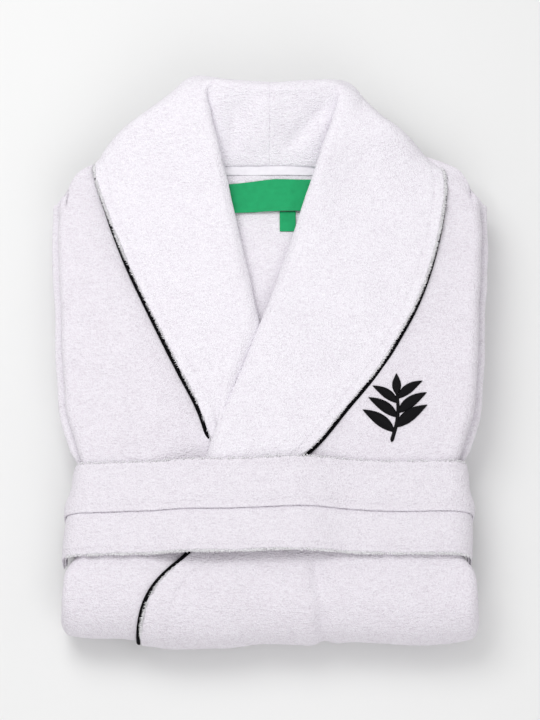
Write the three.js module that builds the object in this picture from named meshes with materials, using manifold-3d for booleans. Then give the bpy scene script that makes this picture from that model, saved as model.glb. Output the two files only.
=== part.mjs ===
// A terry bathrobe with a shawl collar, folded for a shelf and lying on its back, with its belt laid across.
// Millimetres, +Z up, +Y towards the collar, +X towards the wearer's left. Left and right are the wearer's.
import * as THREE from "three";
import { mergeVertices } from "three/addons/utils/BufferGeometryUtils.js";
import Module from "manifold-3d";

const wasm = await Module();
wasm.setup();

// ---- Driving dimensions ----
const clothThickness = 3.35; // one layer of terry as it lies in the pile
const layerGap = 0.35; // air between two layers
const bundleHalfWidth = 194; // at the sleeves, where the bundle is widest
const sleeveShows = 6; // how far the sleeve stands out past the body's side fold
const foldFrontY = -256; // the front of the big front fold
const shoulderTipY = 172; // the shoulder line at the sleeve
const shoulderNeckY = 196; // the shoulder line at the neck
const neckSeamY = 181; // the seam between the back panel and the collar
const neckHalfWidth = 62;
const turnedSide = 112; // width of the side strip that is folded under
const hemY = -180; // where the hem ends, inside the fold
const backFoldY = 150; // centre of the skirt's second fold
const frontOverlapX = -60; // the left front's edge at the waist
const beltWidth = 45;
const beltTopY = -97; // the belt's upper edge
const beltOverlap = 8; // how far the upper band covers the lower one
const beltThickness = 6.4; // two layers of belt
const beltHangZ = 14; // how low the belt's folded ends hang
const beltLooseness = 1; // air between the belt and the bundle's sides
const waistHalfWidth = 167; // the bundle under the belt
const skirtHalfWidth = 183;
const collarRise = 17; // how much the collar stands up above the fronts at the back of the neck
const collarFallZ = 26; // the lower edge of the collar's fall behind the neck
const pipingDiameter = 3;
const pipingGap = 0.35;
const pocketWidth = 146;
const pocketHeight = 178;
const pocketThickness = 1.6;
const labelWidth = 78;
const labelHeight = 30;
const wovenThickness = 0.8; // labels and tapes
const tagWidth = 18;
const tagHeight = 18.5;
const motifThickness = 1.2;

const pitch = clothThickness + layerGap;
// Layers counted from the rest face up: the left front is 0 in the lower pass, 9 in the hem pass, 17 on top.
const skirtTopLayer = 9;
const sleeveLayer = 10;
const topLayer = 17;
const middleZ = (topLayer * pitch + clothThickness) / 2;
const foldY = foldFrontY + middleZ;
const backMiddleZ = (skirtTopLayer * pitch + clothThickness) / 2;
const beltLowY = beltTopY - 2 * beltWidth + beltOverlap;
const bodyHalfWidth = bundleHalfWidth - sleeveShows;

// ---- Solids ----
const axes = {
  x: [new THREE.Vector3(0, 1, 0), new THREE.Vector3(0, 0, 1), new THREE.Vector3(1, 0, 0)],
  y: [new THREE.Vector3(-1, 0, 0), new THREE.Vector3(0, 0, 1), new THREE.Vector3(0, 1, 0)],
  z: [new THREE.Vector3(1, 0, 0), new THREE.Vector3(0, 1, 0), new THREE.Vector3(0, 0, 1)],
};

function solidOf(geometry) {
  const bare = geometry.clone();
  bare.deleteAttribute("normal");
  bare.deleteAttribute("uv");
  const merged = mergeVertices(bare, 1e-4);
  return new wasm.Manifold(
    new wasm.Mesh({
      numProp: 3,
      vertProperties: new Float32Array(merged.attributes.position.array),
      triVerts: new Uint32Array(merged.index.array),
    }),
  );
}

// A flat outline pushed along one axis. Outlines are (y, z) along x, (x, z) along y and (x, y) along z.
function prism(axis, outline, from, to) {
  const points = outline.map(([a, b]) => new THREE.Vector2(axis === "y" ? -a : a, b));
  const geometry = new THREE.ExtrudeGeometry(new THREE.Shape(points), { depth: to - from, bevelEnabled: false });
  geometry.translate(0, 0, from);
  geometry.applyMatrix4(new THREE.Matrix4().makeBasis(...axes[axis]));
  return solidOf(geometry);
}

const rectangle = (x0, x1, y0, y1) => [[x0, y0], [x1, y0], [x1, y1], [x0, y1]];

// A path that passes through its points with one step between each pair.
class PointPath extends THREE.Curve {
  constructor(points) {
    super();
    this.points = points.map((p) => new THREE.Vector3(...p));
  }
  getPoint(t) {
    const at = t * (this.points.length - 1);
    const i = Math.max(0, Math.min(Math.floor(at), this.points.length - 2));
    return this.points[i].clone().lerp(this.points[i + 1], at - i);
  }
  getPointAt(t) {
    return this.getPoint(t);
  }
  getTangentAt(t) {
    return this.getTangent(t);
  }
}

// A round cord along a list of points.
function cord(points, diameter) {
  const section = new THREE.Shape();
  section.absarc(0, 0, diameter / 2, 0, 2 * Math.PI);
  const extrudePath = new PointPath(points);
  return solidOf(
    new THREE.ExtrudeGeometry(section, { steps: points.length - 1, extrudePath, curveSegments: 4 }),
  );
}

// Points along a smooth curve through a few given ones.
const smooth = (points, steps) =>
  new THREE.SplineCurve(points.map((p) => new THREE.Vector2(...p))).getPoints(steps).map((p) => [p.x, p.y]);

// ---- How the pile's height and width change from the front fold to the collar ----
const heights = [
  [foldY, 1], [beltLowY - 14, 0.99], [beltLowY, 0.94], [beltTopY, 0.94], [beltTopY + 40, 1],
  [20, 1.02], [85, 1], [118, 0.965], [backFoldY, 0.93],
];
const widths = [
  [foldFrontY, skirtHalfWidth + 1], [foldY, skirtHalfWidth - 2], [beltLowY - 12, skirtHalfWidth - 4],
  [beltLowY - 3, waistHalfWidth], [beltTopY + 3, waistHalfWidth], [-40, bundleHalfWidth - 11],
  [50, bundleHalfWidth - 4], [110, bundleHalfWidth], [shoulderTipY - 26, bundleHalfWidth],
];

function between(stations, y) {
  const last = stations.length - 1;
  if (y <= stations[0][0]) return stations[0][1];
  if (y >= stations[last][0]) return stations[last][1];
  const i = stations.findIndex(([at]) => at > y);
  const [[y0, v0], [y1, v1]] = [stations[i - 1], stations[i]];
  return v0 + ((v1 - v0) * (y - y0)) / (y1 - y0);
}
const heightAt = (y) => between(heights, y);
const halfWidthAt = (y) => between(widths, y);
const stationsIn = (stations, y0, y1) => [y0, ...stations.map(([y]) => y).filter((y) => y > y0 && y < y1), y1];

// A strip in the (y, z) plane that follows the pile's height, from z0 to z1 before that height is applied.
function follow(y0, y1, z0, z1) {
  const edge = (z) => stationsIn(heights, y0, y1).map((y) => [y, z * heightAt(y)]);
  return [...edge(z0), ...edge(z1).reverse()];
}

// A thin strip that lies on the face at z, a little above it.
function skin(z, y0, y1, above, thickness) {
  const edge = (up) => stationsIn(heights, y0, y1).map((y) => [y, z * heightAt(y) + up]);
  return [...edge(above), ...edge(above + thickness).reverse()];
}

// ---- The rolled layers: top pass, front fold, lower pass, back fold and hem pass ----
const arcSteps = 12;
function arc(y, z, radius, from, to, yz = heightAt(y)) {
  return Array.from({ length: arcSteps + 1 }, (_, i) => {
    const angle = from + ((to - from) * i) / arcSteps;
    return [y + radius * Math.cos(angle), (z + radius * Math.sin(angle)) * yz];
  });
}

// One side of a layer: depth 0 is the outer face of the outermost layer, and it grows inwards.
function rolledEdge(depth, topEndY, endY) {
  const straight = (y0, y1, z) => stationsIn(heights, y0, y1).slice(1, -1).map((y) => [y, z * heightAt(y)]);
  const front = middleZ - depth;
  const back = backMiddleZ - depth;
  const top = 2 * middleZ - depth;
  return [
    [topEndY, top * heightAt(topEndY)],
    ...straight(foldY, topEndY, top).reverse(),
    ...arc(foldY, middleZ, front, Math.PI / 2, (3 * Math.PI) / 2),
    ...straight(foldY, backFoldY, depth),
    ...arc(backFoldY, backMiddleZ, back, -Math.PI / 2, Math.PI / 2),
    ...straight(endY, backFoldY, 2 * backMiddleZ - depth).reverse(),
    [endY, (2 * backMiddleZ - depth) * heightAt(endY)],
  ];
}

// The layer that is `order` layers in from the outside, or a block of layers for the side walls.
function rolled(order, x0, x1, layers = 1) {
  const outer = rolledEdge(order * pitch, shoulderNeckY, hemY);
  const inner = rolledEdge((order + layers - 1) * pitch + clothThickness, shoulderNeckY, hemY);
  return prism("x", [...outer, ...inner.reverse()], x0, x1);
}

// ---- Plan outlines ----
const floorZ = -5;
const splitZ = (sleeveLayer + 1) * pitch * 0.95;
const aboveZ = 120;
const sideYs = stationsIn(widths, foldFrontY - 5, shoulderTipY - 26);
const sideLine = (sign, inset) => sideYs.map((y) => [sign * (halfWidthAt(y) - inset), y]);

function shoulderLine(sign, inset) {
  const tip = bodyHalfWidth - inset + sleeveShows;
  return [
    [sign * (tip - 5), shoulderTipY - 12 - inset],
    [sign * (tip - 32), shoulderTipY - inset],
    [sign * (neckHalfWidth + 6), shoulderNeckY - inset],
  ];
}

const outlines = {
  body: (inset) => [
    ...sideLine(1, inset), ...shoulderLine(1, inset),
    [neckHalfWidth + 4, neckSeamY - 1], [-neckHalfWidth - 4, neckSeamY - 1],
    ...shoulderLine(-1, inset).reverse(), ...sideLine(-1, inset).reverse(),
  ],
  skirt: (inset) => {
    const side = (sign) => [...sideYs, backFoldY + 30].map((y) => [sign * (halfWidthAt(y) - inset), y]);
    return [...side(1), ...side(-1).reverse()];
  },
};

const inPlan = (outline, z0 = floorZ, z1 = aboveZ) => prism("z", outline, z0, z1);
const wholeBody = (inset) =>
  inPlan(outlines.body(inset), splitZ, aboveZ).add(inPlan(outlines.skirt(inset), floorZ, splitZ + 0.01));

// The side fold: what lies between the body's outline at one inset and the next.
const sideWall = (sign, inset) =>
  wholeBody(inset)
    .subtract(wholeBody(inset + clothThickness))
    .intersect(inPlan(rectangle(...(sign > 0 ? [120, 260] : [-260, -120]), -300, shoulderTipY - 30)));

const stripInner = (order) => bodyHalfWidth - turnedSide + order;
function sideStrip(sign, order, inset) {
  const [x0, x1] = sign > 0 ? [stripInner(0), 260] : [-260, -stripInner(0)];
  const low = inPlan(rectangle(x0, x1, -300, backFoldY + 40), floorZ, splitZ);
  const high = inPlan(rectangle(x0, x1, -300, 112), splitZ - 0.01, aboveZ);
  return rolled(order, -260, 260).intersect(wholeBody(inset)).intersect(low.add(high));
}

// ---- Collar lines, seen from above ----
const rollLeft = [[64, 242], [42, 174], [8, 68], [-25, -18], [-56, -92], [frontOverlapX - 3, beltTopY - 63]];
const rollRight = [[-58, 235], [-43, 174], [-25, 98], [-11, 23]];
const edgeLeft = [
  [152, 169], [154, 148], [147, 108], [129, 52], [95, -9], [58, -54], [27, -92], [-20, -128],
  [frontOverlapX - 2, beltTopY - 65],
];
const edgeRight = [[-157, 173], [-144, 133], [-117, 69], [-74, -19], [-48, -66]];
const collarRim = [
  [-157, 176], [-154, 193], [-123, 221], [-92, 241], [-70, 253], [-40, 252], [0, 248],
  [40, 251], [66, 252], [95, 227], [138, 191], [150, 176],
];

// ---- Body panels ----
// The left front lies outermost. Its inner edge runs down the collar seam and then the front edge.
const skirtEdgeX = frontOverlapX - 54; // the same edge from the front fold on
const frontEdgeLeft = [
  ...smooth([
    [frontOverlapX, beltTopY - 66], [frontOverlapX - 7, beltLowY],
    [frontOverlapX - 38, beltLowY + (foldFrontY - beltLowY) * 0.53],
    [skirtEdgeX + 2, foldFrontY + 10],
  ], 10),
  [skirtEdgeX, foldFrontY + 6], [skirtEdgeX, foldFrontY - 5],
];
const collarSeamLeft = [[66, 178], [62, 150], [46, 90], [20, 45], [-14, 10], [-37, -55], [-56, -92]];
const outlineFrontLeft = [
  ...collarSeamLeft, ...frontEdgeLeft, [260, foldFrontY - 5], [260, 260], [neckHalfWidth + 6, 260],
];
const hemPassTop = (skirtTopLayer + 1) * pitch;
const planFrontLeft = inPlan(outlineFrontLeft, hemPassTop, aboveZ)
  .add(inPlan(outlineFrontLeft, middleZ, aboveZ).intersect(inPlan(rectangle(-260, 260, -300, foldY))))
  .add(inPlan(rectangle(skirtEdgeX, 260, foldFrontY - 5, 260), floorZ, hemPassTop + 0.01));

const rightFrontX = 60; // how far the right front reaches under the left one
const collarSeamRight = [[-66, 178], [-60, 140], [-42, 85], [-20, 40], [-11, 23], [0, -40], [20, -110]];
const outlineFrontRight = [
  ...collarSeamRight, [rightFrontX, beltTopY - 60], [rightFrontX, foldFrontY - 5],
  [-260, foldFrontY - 5], [-260, 260], [-neckHalfWidth - 6, 260],
];
const planFrontRight = inPlan(outlineFrontRight, hemPassTop, aboveZ).add(
  inPlan(rectangle(-260, rightFrontX, foldFrontY - 5, 260), floorZ, hemPassTop + 0.01),
);

// A front: its face, the wall of its side fold and the strip turned under.
function front(sign, order, plan) {
  const inset = sleeveShows;
  const face = rolled(order, -260, 260).intersect(wholeBody(inset)).intersect(plan);
  const wall = rolled(order, -260, 260, 5 - order).intersect(sideWall(sign, inset));
  return face.add(wall).add(sideStrip(sign, 4, inset));
}

const backInset = sleeveShows + pitch;
const backFace = rolled(2, -260, 260).intersect(wholeBody(backInset));
const backWalls = rolled(2, -260, 260, 2).intersect(sideWall(1, backInset).add(sideWall(-1, backInset)));
const backPanel = backFace.add(backWalls).add(sideStrip(1, 3, backInset)).add(sideStrip(-1, 3, backInset));

// ---- Pockets: sewn flat on the fronts, on the stretch of skirt that is folded under ----
const pocketTopY = -14;
const pocketLow = pocketTopY - pocketHeight;
function pocket(x0, layer) {
  const z0 = layer * pitch;
  const grown = layerGap;
  const piece = prism("x", follow(pocketLow, pocketTopY, z0, z0 + pocketThickness), x0, x0 + pocketWidth);
  const recess = prism(
    "x", follow(pocketLow - grown, pocketTopY + grown, z0 - 1, z0 + pocketThickness + grown),
    x0 - grown, x0 + pocketWidth + grown,
  );
  return { piece, recess };
}
const pocketLeftX = 10;
const pocketLeft = pocket(pocketLeftX, 0);
const pocketRight = pocket(-pocketLeftX - pocketWidth, 1);

// ---- Sleeves and cuffs, folded in behind ----
const sleeveEndY = -200;
const sleeveThickness = 2 * clothThickness + layerGap;
const cuffDepth = 74;
const cuffWall = (3 * pitch - layerGap - sleeveThickness - 2 * layerGap) / 2;
const sleeveLow = sleeveLayer * pitch + cuffWall + layerGap;
const centreGap = 6;

function sleeve(sign) {
  const ys = stationsIn(widths, sleeveEndY, shoulderTipY - 26);
  const outer = ys.map((y) => [sign * (y < beltTopY + 4 ? waistHalfWidth - cuffWall - 1 : halfWidthAt(y)), y]);
  const plan = [
    [sign * centreGap, sleeveEndY], ...outer, [sign * (bundleHalfWidth - 4), shoulderTipY - 10],
    [sign * (neckHalfWidth + 30), shoulderTipY - 6], [sign * centreGap, 60],
  ];
  return inPlan(plan).intersect(
    prism("x", follow(sleeveEndY, shoulderTipY, sleeveLow, sleeveLow + sleeveThickness), -260, 260),
  );
}

function cuff(sign) {
  const y0 = sleeveEndY - 6;
  const y1 = y0 + cuffDepth;
  const tube = (grow, end) => {
    const half = waistHalfWidth - 1 - grow;
    const [xa, xb] = [sign * (centreGap - cuffWall - layerGap + grow), sign * half];
    const z0 = sleeveLayer * pitch + grow;
    const z1 = sleeveLayer * pitch + 3 * pitch - layerGap - grow;
    return prism("x", follow(y0 - end, y1 + end, z0, z1), Math.min(xa, xb), Math.max(xa, xb));
  };
  return tube(0, 0).subtract(tube(cuffWall, 2));
}

// ---- Collar: the upper layer, and the under layer that lies inside it ----
const riseFrom = 90;
const riseTo = 240;
const rise = (y) => {
  const s = Math.min(1, Math.max(0, (y - riseFrom) / (riseTo - riseFrom)));
  return collarRise * s * s * (3 - 2 * s);
};
const riseYs = [beltTopY - 70, ...heights.map(([y]) => y), 110, 130, 170, 190, 210, 225, riseTo, 262]
  .filter((y) => y >= beltTopY - 70)
  .sort((a, b) => a - b);
const layerTop = (layer, y) => (layer * pitch + clothThickness) * heightAt(y) + rise(y);

const sheetDepth = clothThickness * heightAt(backFoldY);
// The collar's surface from the waist to its rim, `drop` layers below the top one.
function collarSheet(drop) {
  const top = riseYs.map((y) => [y, layerTop(topLayer + 2 - drop, y)]);
  const low = top.map(([y, z]) => [y, z - sheetDepth]).reverse();
  return prism("x", [...top, ...low], -260, 260);
}
const underSheet = (drop) =>
  prism(
    "x",
    [...riseYs.map((y) => [y, layerTop(topLayer + 2 - drop, y)]), [262, floorZ], [beltTopY - 70, floorZ]],
    -260, 260,
  );

// Points moved inwards by a distance, square to the line.
function inset(line, distance) {
  return line.map(([x, y], i) => {
    const [xa, ya] = line[Math.max(0, i - 1)];
    const [xb, yb] = line[Math.min(line.length - 1, i + 1)];
    const length = Math.hypot(xb - xa, yb - ya);
    return [x + ((yb - ya) / length) * distance, y - ((xb - xa) / length) * distance];
  });
}

const rimSteps = 22;
const rim = smooth(collarRim, rimSteps);
const fallZs = [[60, collarFallZ], [96, collarFallZ + 4], [150, 50]];
const fallEdge = [-260, -150, -96, -60, 60, 96, 150, 260].map((x) => [x, between(fallZs, Math.abs(x))]);
const aboveFallEdge = prism("y", [...fallEdge, [260, aboveZ], [-260, aboveZ]], 100, 300);
const rimArea = (distance) => inPlan([...inset(rim, distance), [140, 160], [-140, 160]]);
const behindShoulder = inPlan([[-200, 186], [-150, 186], [0, 196], [150, 184], [200, 184], [200, 300], [-200, 300]]);
const splitGap = 0.35; // at the centre-back seam
const crownY = 236; // where the collar's stand turns over into its fall
const rollReach = 80;
const neckEnd = (roll, shift) => smooth(roll, 24).filter(([, y]) => y > 120).map(([x, y]) => [x + shift, y]);
const betweenRolls = inPlan([
  [61, 262], ...neckEnd(rollLeft, -1), ...neckEnd(rollRight, 1).reverse(), [-57, 262],
]);

const underCollarShort = 1.2; // how much the under layer's edge lies inside the upper one's
function collarHalf(sign, drop) {
  const near = drop * pitch;
  const roll = sign > 0 ? smooth(rollLeft, 16) : [...smooth(rollRight, 10), [-22, -24]];
  const edge = sign > 0 ? smooth(edgeLeft, 22) : smooth(edgeRight, 12);
  const trimmed = inset(edge, sign * drop * underCollarShort).reverse();
  const lapelPlan = sign > 0 ? [...roll, ...trimmed, [150, 200], [70, 262]] : [...roll, ...trimmed, [-150, 200], [-70, 262]];
  const side = inPlan(rectangle(...(sign > 0 ? [splitGap / 2, 260] : [-260, -splitGap / 2]), 150, 300));
  const lapel = collarSheet(drop).intersect(inPlan(lapelPlan)).intersect(
    rimArea(near).add(inPlan(rectangle(-260, 260, -260, 165))),
  );
  const crown = collarSheet(drop).intersect(rimArea(near)).intersect(inPlan(rectangle(-66, 66, crownY - 0.2, 262))).intersect(side);
  const fall = rimArea(near).subtract(rimArea(near + clothThickness)).intersect(underSheet(drop))
    .intersect(aboveFallEdge).intersect(behindShoulder).intersect(side);
  const standTop = layerTop(topLayer + 2 - drop, crownY);
  const standFoot = layerTop(15, neckSeamY) - rise(neckSeamY) - drop * pitch * heightAt(neckSeamY);
  const standY = neckSeamY + 1.2;
  const stand = prism(
    "x",
    [[standY, standFoot], [crownY, standTop], [crownY, standTop - sheetDepth], [standY, standFoot - sheetDepth]],
    -rollReach, rollReach,
  ).intersect(betweenRolls).intersect(side);
  return lapel.add(crown).add(fall).add(stand);
}

// The right collar stops where the left front covers it.
const leftFrontLine = smooth(rollLeft, 16).map(([x, y]) => [x - 0.6, y]);
const underLeftFront = inPlan([
  ...leftFrontLine.filter(([, y]) => y < 60), [frontOverlapX - 5, -260], [260, -260], [260, 60],
]);

// ---- Piping: a cord between the two collar layers, along their edge and on down the front ----
const cordOut = pipingDiameter / 2 + pipingGap;
const slantedOut = cordOut * 1.4; // beside an edge that runs at a slant
const lapelCordZ = (y) => (layerTop(topLayer + 2, y) + layerTop(topLayer + 1, y) - clothThickness) / 2;

// Along the lower edge of the fall behind the neck, then up past the shoulder to the lapel's edge.
function fallCord(sign) {
  const line = inset(rim, clothThickness).filter(([x]) => sign * x > 2 && sign * x < 132);
  if (sign < 0) line.reverse();
  return line.map(([x, y]) => [x, y, between(fallZs, Math.abs(x)) - slantedOut]);
}
const cordClimb = (sign) => [
  [sign * 149, shoulderTipY + 14, 47], [sign * 157, shoulderTipY + 10, 54],
  [sign * 160, shoulderTipY + 2, (topLayer * pitch + clothThickness) * heightAt(shoulderTipY) + 2 * cordOut],
];
const lapelCord = (line, sign) =>
  inset(line, -sign * cordOut).slice(1).map(([x, y]) => [x, y, lapelCordZ(y)]);

// Down the left front's edge: over the fold, along the lower pass, round the back fold and on to the hem.
const edgeX = (y) => between([...frontEdgeLeft].reverse().map(([x, at]) => [at, x]), y);
const layerMiddle = (layer, y) => (layer * pitch + clothThickness / 2) * heightAt(y);
const lowerX = skirtEdgeX - cordOut;
// The cord lies beside the edge as that runs down to the front fold and over it, square to it.
function overFold([y, z], i, points) {
  const [ya, za] = points[Math.max(0, i - 1)];
  const [yb, zb] = points[Math.min(points.length - 1, i + 1)];
  const slope = (edgeX(yb) - edgeX(ya)) / Math.hypot(yb - ya, zb - za);
  const x = edgeX(y) - cordOut * Math.hypot(1, slope) - pipingGap;
  return [z > middleZ + 1 ? Math.max(lowerX, x) : lowerX, y, z];
}
const runYs = [...frontEdgeLeft.map(([, y]) => [y]), ...heights].sort((a, b) => a[0] - b[0]);
const frontRun = stationsIn(runYs, foldY + 2, beltTopY - 78)
  .reverse()
  .map((y) => [y, layerMiddle(topLayer, y)]);
const breakPoint = [
  [frontOverlapX - 4, beltTopY - 71, lapelCordZ(beltTopY - 71)],
  [frontOverlapX - 6, beltTopY - 75, layerMiddle(topLayer + 1, beltTopY - 75)],
];
const leftFrontCord = [
  ...breakPoint,
  ...[...frontRun, ...arc(foldY, middleZ, middleZ - clothThickness / 2, Math.PI / 2, (3 * Math.PI) / 2)]
    .map(overFold),
  ...stationsIn(heights, foldY, backFoldY).slice(1, -1).map((y) => [lowerX, y, layerMiddle(0, y)]),
  ...arc(backFoldY, backMiddleZ, backMiddleZ - clothThickness / 2, -Math.PI / 2, Math.PI / 2)
    .map(([y, z]) => [lowerX, y, z]),
  ...stationsIn(heights, hemY, backFoldY).slice(0, -1).reverse()
    .map((y) => [lowerX, y, layerMiddle(skirtTopLayer, y)]),
];

const pipingLeftPath = [
  ...fallCord(1), ...cordClimb(1), ...lapelCord(smooth(edgeLeft, 22), 1).slice(0, -2), ...leftFrontCord,
];
const pipingRightPath = [...fallCord(-1), ...cordClimb(-1), ...lapelCord(smooth(edgeRight, 12), -1)];
const pipingRightFrontPath = stationsIn(heights, foldY, beltTopY - 58)
  .reverse()
  .map((y) => [rightFrontX + cordOut, y, layerMiddle(topLayer - 1, y)]);

// ---- Neck tape, hanger loop, labels: sewn to the inside of the back, at the neck ----
const backFaceZ = 15 * pitch + clothThickness;
const onBack = (x0, x1, y0, y1, above, thickness) =>
  prism("x", skin(backFaceZ, y0, y1, above, thickness), x0, x1);
const tapeHeight = 8;
const tapeLow = neckSeamY - 1 - tapeHeight;
const neckTape = onBack(-46, 46, tapeLow, neckSeamY - 1, layerGap, wovenThickness);
const loopHalf = 28;
const loopTape = 6;
const loopDrop = 17;
const loopTopY = tapeLow - layerGap;
const hangerLoop = onBack(-loopHalf, loopHalf, loopTopY - loopDrop, loopTopY, layerGap, wovenThickness).subtract(
  inPlan(rectangle(-loopHalf + loopTape, loopHalf - loopTape, loopTopY - loopDrop + loopTape, loopTopY + 5)),
);
const labelTopY = tapeLow - 5;
const labelLowY = labelTopY - labelHeight;
const labelX = 3;
const overLoop = 2 * layerGap + wovenThickness;
const neckLabel = onBack(
  labelX - labelWidth / 2, labelX + labelWidth / 2, labelLowY, labelTopY, overLoop, wovenThickness,
);
const tagX = 9;
const sizeTag = onBack(
  tagX, tagX + tagWidth, labelLowY - layerGap - tagHeight, labelLowY - layerGap, layerGap, wovenThickness,
);

// ---- Small pieces in the side seams ----
const seamX = stripInner(0) - layerGap;
const seamZ = (topLayer - 4) * pitch + 1;
const waistY = beltTopY - beltWidth;
function beltLoop(sign) {
  const loopWidth = 12;
  const loopLength = 66;
  const tape = 2.2;
  const edge = [seamX - loopWidth, seamX].map((x) => sign * x).sort((a, b) => a - b);
  const [y0, y1] = [waistY - loopLength / 2, waistY + loopLength / 2];
  const hole = [edge[0] + tape, edge[1] - tape];
  return prism("x", follow(y0, y1, seamZ, seamZ + wovenThickness * 2), ...edge).subtract(
    inPlan(rectangle(...hole, y0 + 5, y1 - 5)),
  );
}
const careLabel = prism("x", follow(-84, -30, seamZ, seamZ + wovenThickness), seamX - 30, seamX);

// ---- Embroidered motif: a generic sprig of leaves ----
const motifCentre = [107, -47];
const motifHeight = 62;
const stemWidth = 3.2;
function leaf(x, y, length, angle) {
  const shape = new THREE.Shape();
  const bulge = length * 0.34;
  shape.moveTo(0, -stemWidth / 3);
  shape.quadraticCurveTo(length * 0.45, -bulge, length, 0);
  shape.quadraticCurveTo(length * 0.45, bulge, 0, stemWidth / 3);
  return shape.getPoints(5).map((p) => [
    x + p.x * Math.cos(angle) - p.y * Math.sin(angle),
    y + p.x * Math.sin(angle) + p.y * Math.cos(angle),
  ]);
}
function sprig() {
  const [cx, cy] = motifCentre;
  const low = cy - motifHeight / 2;
  const stem = smooth([[cx - 5, low], [cx + 1, low + 20], [cx, low + 46]], 8);
  const stemX = (up) => between(stem.map(([x, y]) => [y, x]), low + up);
  let plan = inPlan([...inset(stem, stemWidth / 2), ...inset(stem, -stemWidth / 2).reverse()]);
  [9, 22, 35].forEach((up, i) => {
    const length = 29 - 3 * i;
    plan = plan.add(inPlan(leaf(stemX(up), low + up, length, Math.PI * 0.8)));
    plan = plan.add(inPlan(leaf(stemX(up + 4), low + up + 4, length, Math.PI * 0.2)));
  });
  plan = plan.add(inPlan(leaf(cx, low + 42, 20, Math.PI * 0.5)));
  const face = skin(topLayer * pitch + clothThickness, low - 2, cy + motifHeight, layerGap, motifThickness);
  return plan.intersect(prism("x", face, -260, 260));
}

// ---- Belt: two bands, each two layers thick, over the fronts and down both sides ----
const beltHalf = waistHalfWidth + beltLooseness;
const underBelt = heightAt(waistY);
const overLapel = ((topLayer + 2) * pitch + clothThickness) * underBelt + layerGap;
const overLeft = (topLayer * pitch + clothThickness) * underBelt + layerGap;
const overRight = ((topLayer - 1) * pitch + clothThickness) * underBelt + layerGap;
function beltBand(y0, y1, lower) {
  const corner = 6;
  const inner = [
    [-beltHalf, beltHangZ], [-beltHalf, overRight - corner], [-beltHalf + corner * 0.4, overRight - corner * 0.3],
    [-beltHalf + corner, overRight], [frontOverlapX - 38, overRight], [frontOverlapX - 12, overLapel],
    [34, overLapel], [66, overLeft], [beltHalf - corner, overLeft],
    [beltHalf - corner * 0.4, overLeft - corner * 0.3], [beltHalf, overLeft - corner], [beltHalf, beltHangZ],
  ];
  const thick = beltThickness - lower;
  const outer = inset(inner, -thick);
  outer[0] = [-beltHalf - thick, beltHangZ];
  outer[outer.length - 1] = [beltHalf + thick, beltHangZ];
  return prism("y", [...inner, ...outer.reverse()], y0, y1);
}
const belt = beltBand(beltTopY - beltWidth, beltTopY, 0).add(
  beltBand(beltLowY, beltLowY + beltWidth, 1.2),
);

// ---- The assembly ----
const finishes = {
  terry: new THREE.MeshStandardMaterial({ color: 0xf2eff5, roughness: 0.95, metalness: 0 }),
  cord: new THREE.MeshStandardMaterial({ color: 0x15131a, roughness: 0.7, metalness: 0 }),
  thread: new THREE.MeshStandardMaterial({ color: 0x101014, roughness: 0.55, metalness: 0 }),
  woven: new THREE.MeshStandardMaterial({ color: 0x0f7a4c, roughness: 0.6, metalness: 0 }),
  tape: new THREE.MeshStandardMaterial({ color: 0xf4f1f6, roughness: 0.8, metalness: 0 }),
};

const robe = new THREE.Group();
function place(name, solid, finish) {
  const mesh = solid.getMesh();
  const geometry = new THREE.BufferGeometry();
  geometry.setAttribute("position", new THREE.BufferAttribute(mesh.vertProperties, 3));
  geometry.setIndex(new THREE.BufferAttribute(mesh.triVerts, 1));
  const piece = new THREE.Mesh(geometry, finishes[finish]);
  piece.name = name;
  robe.add(piece);
}

place("front_panel_left", front(1, 0, planFrontLeft).subtract(pocketLeft.recess), "terry");
place("front_panel_right", front(-1, 1, planFrontRight).subtract(pocketRight.recess), "terry");
place("back_panel", backPanel, "terry");
place("pocket_left", pocketLeft.piece, "terry");
place("pocket_right", pocketRight.piece, "terry");
for (const [side, sign] of [["left", 1], ["right", -1]]) {
  place(`sleeve_${side}`, sleeve(sign), "terry");
  place(`cuff_${side}`, cuff(sign), "terry");
  place(`belt_loop_${side}`, beltLoop(sign), "tape");
}
place("upper_collar_left", collarHalf(1, 0), "terry");
place("under_collar_left", collarHalf(1, 1), "terry");
place("upper_collar_right", collarHalf(-1, 0).subtract(underLeftFront), "terry");
place("under_collar_right", collarHalf(-1, 1).subtract(underLeftFront), "terry");
place("piping_left", cord(pipingLeftPath, pipingDiameter), "cord");
place("piping_right_lapel", cord(pipingRightPath, pipingDiameter), "cord");
place("piping_right_front", cord(pipingRightFrontPath, pipingDiameter), "cord");
place("neck_tape", neckTape, "tape");
place("hanger_loop", hangerLoop, "tape");
place("neck_label", neckLabel, "woven");
place("size_tag", sizeTag, "woven");
place("care_label", careLabel, "tape");
place("embroidered_motif", sprig(), "thread");
place("belt", belt, "terry");

// The origin goes to the middle of the rest face.
const box = new THREE.Box3().setFromObject(robe);
const centre = box.getCenter(new THREE.Vector3());
robe.position.set(-centre.x, -centre.y, -box.min.z);

const group = new THREE.Group();
group.add(robe);
export default group;
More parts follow.
